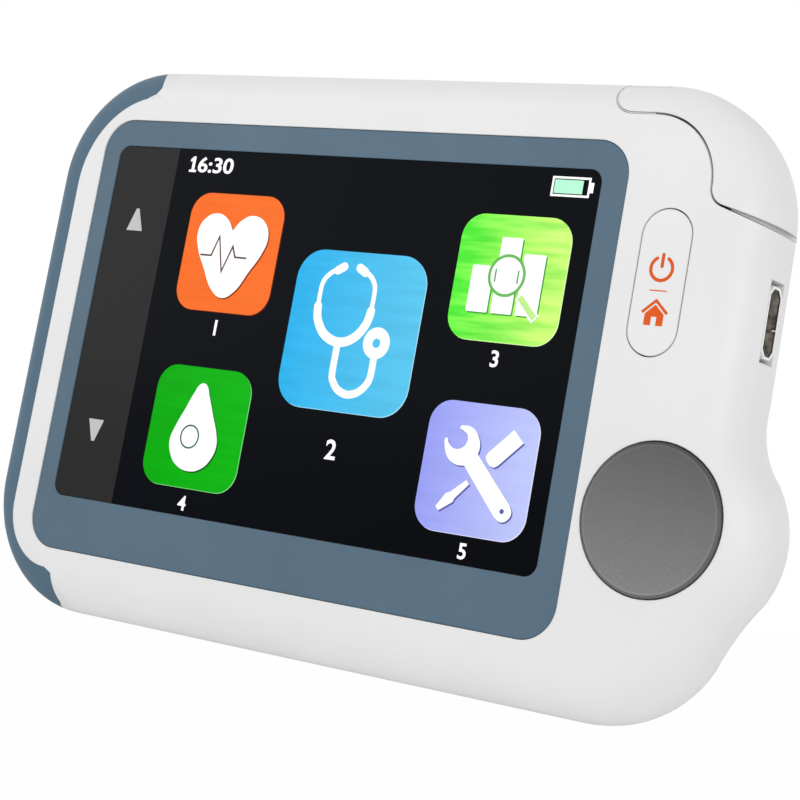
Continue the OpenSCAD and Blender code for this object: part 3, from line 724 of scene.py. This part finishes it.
def addKeySigns(k):
    ink = mouldedAbs("orangePadPrint", "#DF5A1E", "#E35E22", 0.6, 0.3, 0.001, shine=0.1)
    high, half, thin = k["rule"]
    x, y = k["power"]
    arc = strokeArea(ring((x, y), k["ring"], 122, 418, 24), k["line"])
    stem = strokeArea([(x, y + 0.2), (x, y + 1.25)], k["line"])
    rule = strokeArea([(x - half, high), (x + half, high)], thin)
    for name, shape in (("powerRing", arc), ("powerStem", stem), ("keyRule", rule)):
        keep(name, thicken(shape, k["front"], k["back"]), ink, "key")
    x, y = k["home"]
    roof = strokeArea([(x - 1.22, y - 0.02), (x, y + 1.08), (x + 1.22, y - 0.02)], 0.26, False)
    walls = cornerArea([(x - 0.92, y - 1.12), (x - 0.26, y - 1.12), (x - 0.26, y - 0.35),
                        (x + 0.26, y - 0.35), (x + 0.26, y - 1.12), (x + 0.92, y - 1.12),
                        (x + 0.92, y - 0.12), (x, y + 0.72), (x - 0.92, y - 0.12)])
    for name, shape in (("homeRoof", roof), ("homeWalls", walls)):
        keep(name, thicken(shape, k["front"], k["back"]), ink, "key")


addKeySigns(keySigns)
print("key signs printed")

thumbDisc = {"at": (38.6, -10.4), "radius": 6.63, "proud": 0.25, "seat": 1.0,
             "rim": 0.35, "stud": 1.45, "studEnd": 3.0}


def electrodeFace(d):
    # Conductive coat: fine orange-peel grain, painted shading darker at the top, a painted
    # highlight line where the rounded rim starts and painted shade over the rim
    material, tree, surface, spot = startMaterial(
        "conductiveElectrodeFace", {"Roughness": 0.42, "IOR": 1.5, "Specular IOR Level": 0.4})
    tone = paleDownwards(tree, spot, "#515151", "#808080")
    speck = addNode(tree, "ShaderNodeTexNoise", {"Scale": 1 / (0.22 * mm), "Detail": 3.0},
                    {"Vector": spot})
    level = addNode(tree, "ShaderNodeMapRange",
                    {"From Min": 0.35, "From Max": 0.65, "To Min": 0.93, "To Max": 1.07},
                    {"Value": speck.outputs["Fac"]})
    plan = addNode(tree, "ShaderNodeVectorMath", {"operation": "MULTIPLY", 1: (1, 0, 1)},
                   {0: spot})
    axisAt = place(*d["at"], 0)
    far = addNode(tree, "ShaderNodeVectorMath", {"operation": "DISTANCE",
                                                 1: (axisAt.x, 0, axisAt.z)},
                  {0: plan.outputs[0]})
    # painted highlight: a paler line just inside the rounded rim
    paintedHighlightLine = addNode(tree, "ShaderNodeMapRange",
                   {"From Min": (d["radius"] - d["rim"] - 0.12) * mm,
                    "From Max": (d["radius"] - d["rim"] + 0.02) * mm,
                    "To Min": 1.0, "To Max": 1.28}, {"Value": far.outputs["Value"]})
    # painted shade: the rounded rim darkened to half
    dark = addNode(tree, "ShaderNodeMapRange",
                   {"From Min": (d["radius"] - d["rim"] + 0.03) * mm,
                    "From Max": (d["radius"] - d["rim"] + 0.12) * mm,
                    "To Min": 1.0, "To Max": 0.5}, {"Value": far.outputs["Value"]})
    both = addNode(tree, "ShaderNodeMath", {"operation": "MULTIPLY"},
                   {0: paintedHighlightLine.outputs["Result"], 1: dark.outputs["Result"]})
    total = addNode(tree, "ShaderNodeMath", {"operation": "MULTIPLY"},
                    {0: both.outputs[0], 1: level.outputs["Result"]})
    shade = addNode(tree, "ShaderNodeVectorMath", {"operation": "SCALE"},
                    {0: tone, "Scale": total.outputs[0]})
    tree.links.new(shade.outputs[0], surface.inputs["Base Color"])
    grainBump(tree, surface, spot, 0.3, 0.012)
    return material


def addThumbDisc(d):
    # Turned from its half section about the disc's axis
    flat = [(0, -d["proud"]), (d["radius"] - d["rim"], -d["proud"])]
    for k in range(1, 7):
        turn = math.radians(15 * k)
        flat.append((d["radius"] - d["rim"] * (1 - math.sin(turn)),
                     d["rim"] * (1 - math.cos(turn)) - d["proud"]))
    flat += [(d["radius"], d["seat"]), (d["stud"], d["seat"]), (d["stud"], d["studEnd"]),
             (0, d["studEnd"])]
    shape = bmesh.new()
    points = [shape.verts.new((r, 0, z)) for r, z in flat]
    edges = [shape.edges.new(pair) for pair in zip(points, points[1:])]
    bmesh.ops.spin(shape, geom=points + edges, cent=(0, 0, 0), axis=(0, 0, 1),
                   angle=2 * math.pi, steps=128, use_merge=True)
    bmesh.ops.remove_doubles(shape, verts=shape.verts, dist=0.0005)
    bmesh.ops.translate(shape, vec=(*d["at"], 0), verts=shape.verts)
    disc = keep("thumbDisc", shape, electrodeFace(d), sharp=50)
    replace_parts(disc, "thumb_electrode")


addThumbDisc(thumbDisc)
print("thumb disc turned")

# A near-white plastic standing in for light caught on the metal lip and lap tab: a painted
# highlight
paintedHighlightLip = mouldedAbs("paintedHighlightSocketLip", "#F2F1EF", "#F7F6F4", 0.3)


def socketLining(mouth):
    # Brown-grey mottle inside the shell, with painted shade darkest just behind its lip and deep
    # inside
    material, tree, surface, spot = startMaterial(
        "shadedSocketSteel", {"Roughness": 0.5, "IOR": 1.5, "Specular IOR Level": 0.3})
    tone = tonedColour(tree, surface, spot, "#4C4742", "#A39B92", 0.9)
    where = addNode(tree, "ShaderNodeSeparateXYZ", None, {"Vector": spot})
    # painted shade: down to 0.16 just behind the lip and deep inside
    paintedShadeLevels = [addNode(tree, "ShaderNodeMapRange",
                      {"From Min": mouth - far * mm, "From Max": mouth - near * mm,
                       "To Min": 1.0, "To Max": 0.16}, {"Value": where.outputs["X"]})
              for far, near in ((0.26, 0.18), (0.85, 1.15))]
    both = addNode(tree, "ShaderNodeMath", {"operation": "MULTIPLY"},
                   {0: paintedShadeLevels[0].outputs["Result"], 1: paintedShadeLevels[1].outputs["Result"]})
    shade = addNode(tree, "ShaderNodeVectorMath", {"operation": "SCALE"},
                    {0: tone, "Scale": both.outputs[0]})
    tree.links.new(shade.outputs[0], surface.inputs["Base Color"])
    return material


# Rings of the pressed shell: place along x, width, height and corner cut, outside then inside
socketShell = {"at": (4.6, 7.9), "lip": 2, "inside": 6, "mouth": 44.76, "rings": (
    (37.95, 2.2, 6.1, 0.5), (43.0, 2.2, 6.1, 0.5), (43.4, 2.54, 6.36, 0.7),
    (44.68, 2.54, 6.36, 0.7), (44.76, 2.48, 6.3, 0.68), (44.76, 2.14, 5.92, 0.6),
    (44.7, 2.08, 5.86, 0.58), (43.4, 2.06, 5.84, 0.58), (43.0, 1.7, 5.6, 0.4),
    (38.75, 1.7, 5.6, 0.4)), "lap": {"at": (44.52, 7.42, 5.63), "size": (0.3, 0.13, 0.12)}}


def addSocketShell(s):
    shape = bmesh.new()
    rings = []
    for x, wide, tall, cut in s["rings"]:
        u, v = wide / 2, tall / 2
        corners = ((-u, cut - v), (cut - u, -v), (u - cut, -v), (u, cut - v),
                   (u, v - cut), (u - cut, v), (cut - u, v), (-u, v - cut))
        points = [shape.verts.new((x, s["at"][1] + b, s["at"][0] + a)) for a, b in corners]
        rings.append((points, [shape.edges.new((points[k - 1], points[k])) for k in range(8)]))
    # Material 0 is the outer steel, 1 the painted highlight on the lip, 2 the lining with its
    # painted shade
    for k, (one, two) in enumerate(zip(rings, rings[1:])):
        made = bmesh.ops.bridge_loops(shape, edges=one[1] + two[1])["faces"]
        for face in made:
            face.material_index = (k >= s["lip"]) + (k >= s["inside"])
    shape.faces.new(rings[0][0])
    shape.faces.new(rings[-1][0]).material_index = 2
    lap = bmesh.ops.create_cube(shape, size=1)["verts"]
    bmesh.ops.scale(shape, vec=s["lap"]["size"], verts=lap)
    bmesh.ops.translate(shape, vec=s["lap"]["at"], verts=lap)
    # The lap tab gets the painted highlight material
    for face in {face for vert in lap for face in vert.link_faces}:
        face.material_index = 1
    shell = keep("socketShell", shape, stampedSteel)
    shell.data.materials.append(paintedHighlightLip)
    shell.data.materials.append(socketLining(rowX(s["mouth"])))
    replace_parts(shell, "connector_shell")


addSocketShell(socketShell)
print("socket shell pressed")

flapSeam = {"pin": (30.4, 27.1), "hinge": 2.2, "shoulder": (33.0, 18.6), "curve": 6.5,
            "arcs": ((150, 270), (42, 2)), "liner": 0.1, "sunk": (0.07, 0.13), "deep": 1.3,
            "edgeStart": 24.3, "edge": 4.0}


def addSeamLiners(f):
    # Moulded ribs at the bottom of the seam, pale like the shell
    hingePath = ring(f["pin"], f["hinge"], *f["arcs"][0], 14)
    hingePath.append((f["shoulder"][0] - 0.3, f["pin"][1] - f["hinge"]))
    curvePath = ring(f["shoulder"], f["curve"], *f["arcs"][1], 10)
    for name, path, sunk in zip(("hingeRib", "shoulderRib"), (hingePath, curvePath), f["sunk"]):
        shape = strokeArea(path, f["liner"], False)
        bmesh.ops.triangulate(shape, faces=shape.faces)
        for vert in shape.verts:
            rise = min(max(vert.co.y - f["edgeStart"], 0), f["edge"] * 0.97)
            vert.co.z = f["edge"] - math.sqrt(f["edge"] ** 2 - rise ** 2) + sunk
        made = bmesh.ops.extrude_face_region(shape, geom=shape.faces[:])["geom"]
        lowered = [part for part in made if isinstance(part, bmesh.types.BMVert)]
        bmesh.ops.translate(shape, vec=(0, 0, f["deep"]), verts=lowered)
        keep(name, shape, whiteAbs)


flapSkirt = {"flap": (40.61, 17.05, -14), "body": (40.44, 16.89, -18), "clear": 0.1,
             "middle": 40.8, "round": 3.25, "front": 4.0, "side": 8.5, "thick": 0.25}


def addSkirt(k):
    # Pale silicone lip under the flap's lower edge, following the rounded front edge
    path = [(k["middle"] + k["round"] * math.sin(math.radians(a)),
             k["front"] - k["round"] * math.cos(math.radians(a))) for a in range(6, 91, 7)]
    path.append((k["middle"] + k["round"], k["side"]))
    shape = bmesh.new()
    rows = []
    for x, z in path:
        heights = [y + (x - x0) * math.tan(math.radians(tilt)) + lift
                   for (x0, y, tilt), lift in ((k["body"], k["clear"]), (k["flap"], -0.01))]
        rows.append([shape.verts.new((x, y, z)) for y in heights])
    for (a, b), (c, d) in zip(rows, rows[1:]):
        shape.faces.new((a, c, d, b))
    shape.normal_update()
    outward = {vert: vert.normal.copy() for vert in shape.verts}
    sign = 1 if rows[-1][0].normal.x < 0 else -1
    made = bmesh.ops.extrude_face_region(shape, geom=shape.faces[:])["geom"]
    moved = [part for part in made if isinstance(part, bmesh.types.BMVert)]
    for vert in moved:
        near = min(outward, key=lambda other: (other.co - vert.co).length)
        vert.co += outward[near] * sign * k["thick"]
    keep("flapSkirt", shape, paleSilicone, "flap", sharp=50)


flapSpring = {"pin": (30.4, 27.1), "radius": 0.72, "wire": 0.24, "depth": (5.22, 6.38),
              "turns": 4, "fixedLeg": -4.2, "flapLeg": 2.4}


def wireAlong(shape, path, wire):
    # Sweeps a round section along a path by moving one ring of edges from point to point
    rings = []
    for here, before, after in zip(path, [path[0]] + path[:-1], path[1:] + [path[-1]]):
        ahead = (Vector(after) - Vector(before)).normalized()
        across = ahead.cross(Vector((0, 0, 1))).normalized()
        up = across.cross(ahead)
        points = [shape.verts.new(Vector(here) + (across * math.cos(k * math.pi / 4)
                                                  + up * math.sin(k * math.pi / 4)) * wire / 2)
                  for k in range(8)]
        rings.append((points, [shape.edges.new((points[k - 1], points[k])) for k in range(8)]))
    for one, two in zip(rings, rings[1:]):
        bmesh.ops.bridge_loops(shape, edges=one[1] + two[1])
    shape.faces.new(rings[0][0])
    shape.faces.new(rings[-1][0])


def addFlapSpring(s):
    # The coil and its fixed leg stay with the housing, the other leg turns with the flap
    px, py = s["pin"]
    r, (near, far) = s["radius"], s["depth"]
    steps = s["turns"] * 24
    coil = [(px + s["fixedLeg"], py - r, near)]
    for k in range(steps + 1):
        turn = math.radians(-90 + 15 * k)
        coil.append((px + r * math.cos(turn), py + r * math.sin(turn),
                     near + (far - near) * k / steps))
    shape = bmesh.new()
    wireAlong(shape, coil, s["wire"])
    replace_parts(keep("springCoil", shape, stampedSteel), "flap_spring")
    shape = bmesh.new()
    wireAlong(shape, [(px + x, py - r, far) for x in (0.0, 1.2, s["flapLeg"])], s["wire"])
    keep("springLeg", shape, stampedSteel, "flap")


addFlapSpring(flapSpring)
addSeamLiners(flapSeam)
addSkirt(flapSkirt)
print("flap seam lined")

white = "#FFFFFF"


def addFloor():
    mesh = bpy.data.meshes.new("floor")
    shape = bmesh.new()
    bmesh.ops.create_grid(shape, x_segments=1, y_segments=1, size=3.0)
    shape.to_mesh(mesh)
    shape.free()
    floor = bpy.data.objects.new("floor", mesh)
    bpy.context.scene.collection.objects.link(floor)
    material = bpy.data.materials.new("whitePaperSweep")
    material.use_nodes = True
    tree = material.node_tree
    tree.nodes.clear()
    path = addNode(tree, "ShaderNodeLightPath")
    paper = addNode(tree, "ShaderNodeBsdfDiffuse", {"Color": linear("#F0F0F0")})
    glow = addNode(tree, "ShaderNodeEmission", {"Color": linear(white), "Strength": 1.0})
    share = addNode(tree, "ShaderNodeMapRange", {"To Min": 0.4, "To Max": 0.97},
                    {"Value": path.outputs["Is Camera Ray"]})
    mixed = addNode(tree, "ShaderNodeMixShader", None,
                    {0: share.outputs[0], 1: paper.outputs[0], 2: glow.outputs[0]})
    addNode(tree, "ShaderNodeOutputMaterial", None, {"Surface": mixed.outputs[0]})
    mesh.materials.append(material)


def lightWorld(strength):
    world = bpy.data.worlds.new("studio")
    bpy.context.scene.world = world
    world.use_nodes = True
    tree = world.node_tree
    tree.nodes.clear()
    path = addNode(tree, "ShaderNodeLightPath")
    shiny = addNode(tree, "ShaderNodeMath", {"operation": "MAXIMUM"},
                    {0: path.outputs["Is Camera Ray"], 1: path.outputs["Is Transmission Ray"]})
    mirrored = addNode(tree, "ShaderNodeMath", {"operation": "MAXIMUM"},
                       {0: shiny.outputs[0], 1: path.outputs["Is Glossy Ray"]})
    level = addNode(tree, "ShaderNodeMapRange", {"To Min": strength, "To Max": 1.0},
                    {"Value": mirrored.outputs[0]})
    sky = addNode(tree, "ShaderNodeBackground", {"Color": linear(white)},
                  {"Strength": level.outputs["Result"]})
    addNode(tree, "ShaderNodeOutputWorld", None, {"Surface": sky.outputs[0]})


def addLamp(name, at, aim, size, power):
    lamp = bpy.data.objects.new(name, bpy.data.lights.new(name, "AREA"))
    lamp.data.shape = "RECTANGLE"
    lamp.data.size = size[0]
    lamp.data.size_y = size[1]
    lamp.data.energy = power
    lamp.matrix_world = (Matrix.Translation(at)
                         @ (Vector(aim) - Vector(at)).to_track_quat("-Z", "Y").to_matrix().to_4x4())
    bpy.context.scene.collection.objects.link(lamp)


addFloor()
lightWorld(0.665)
addLamp("softboxLeft", (-0.45, -0.5, 0.3), (0, 0, 0.03), (0.5, 0.5), 1.0)
addLamp("softboxRight", (0.5, -0.45, 0.08), (0.02, 0, 0.02), (0.4, 0.3), 1.3)
bpy.context.scene.view_settings.view_transform = "Standard"
print("floor and lamps placed")
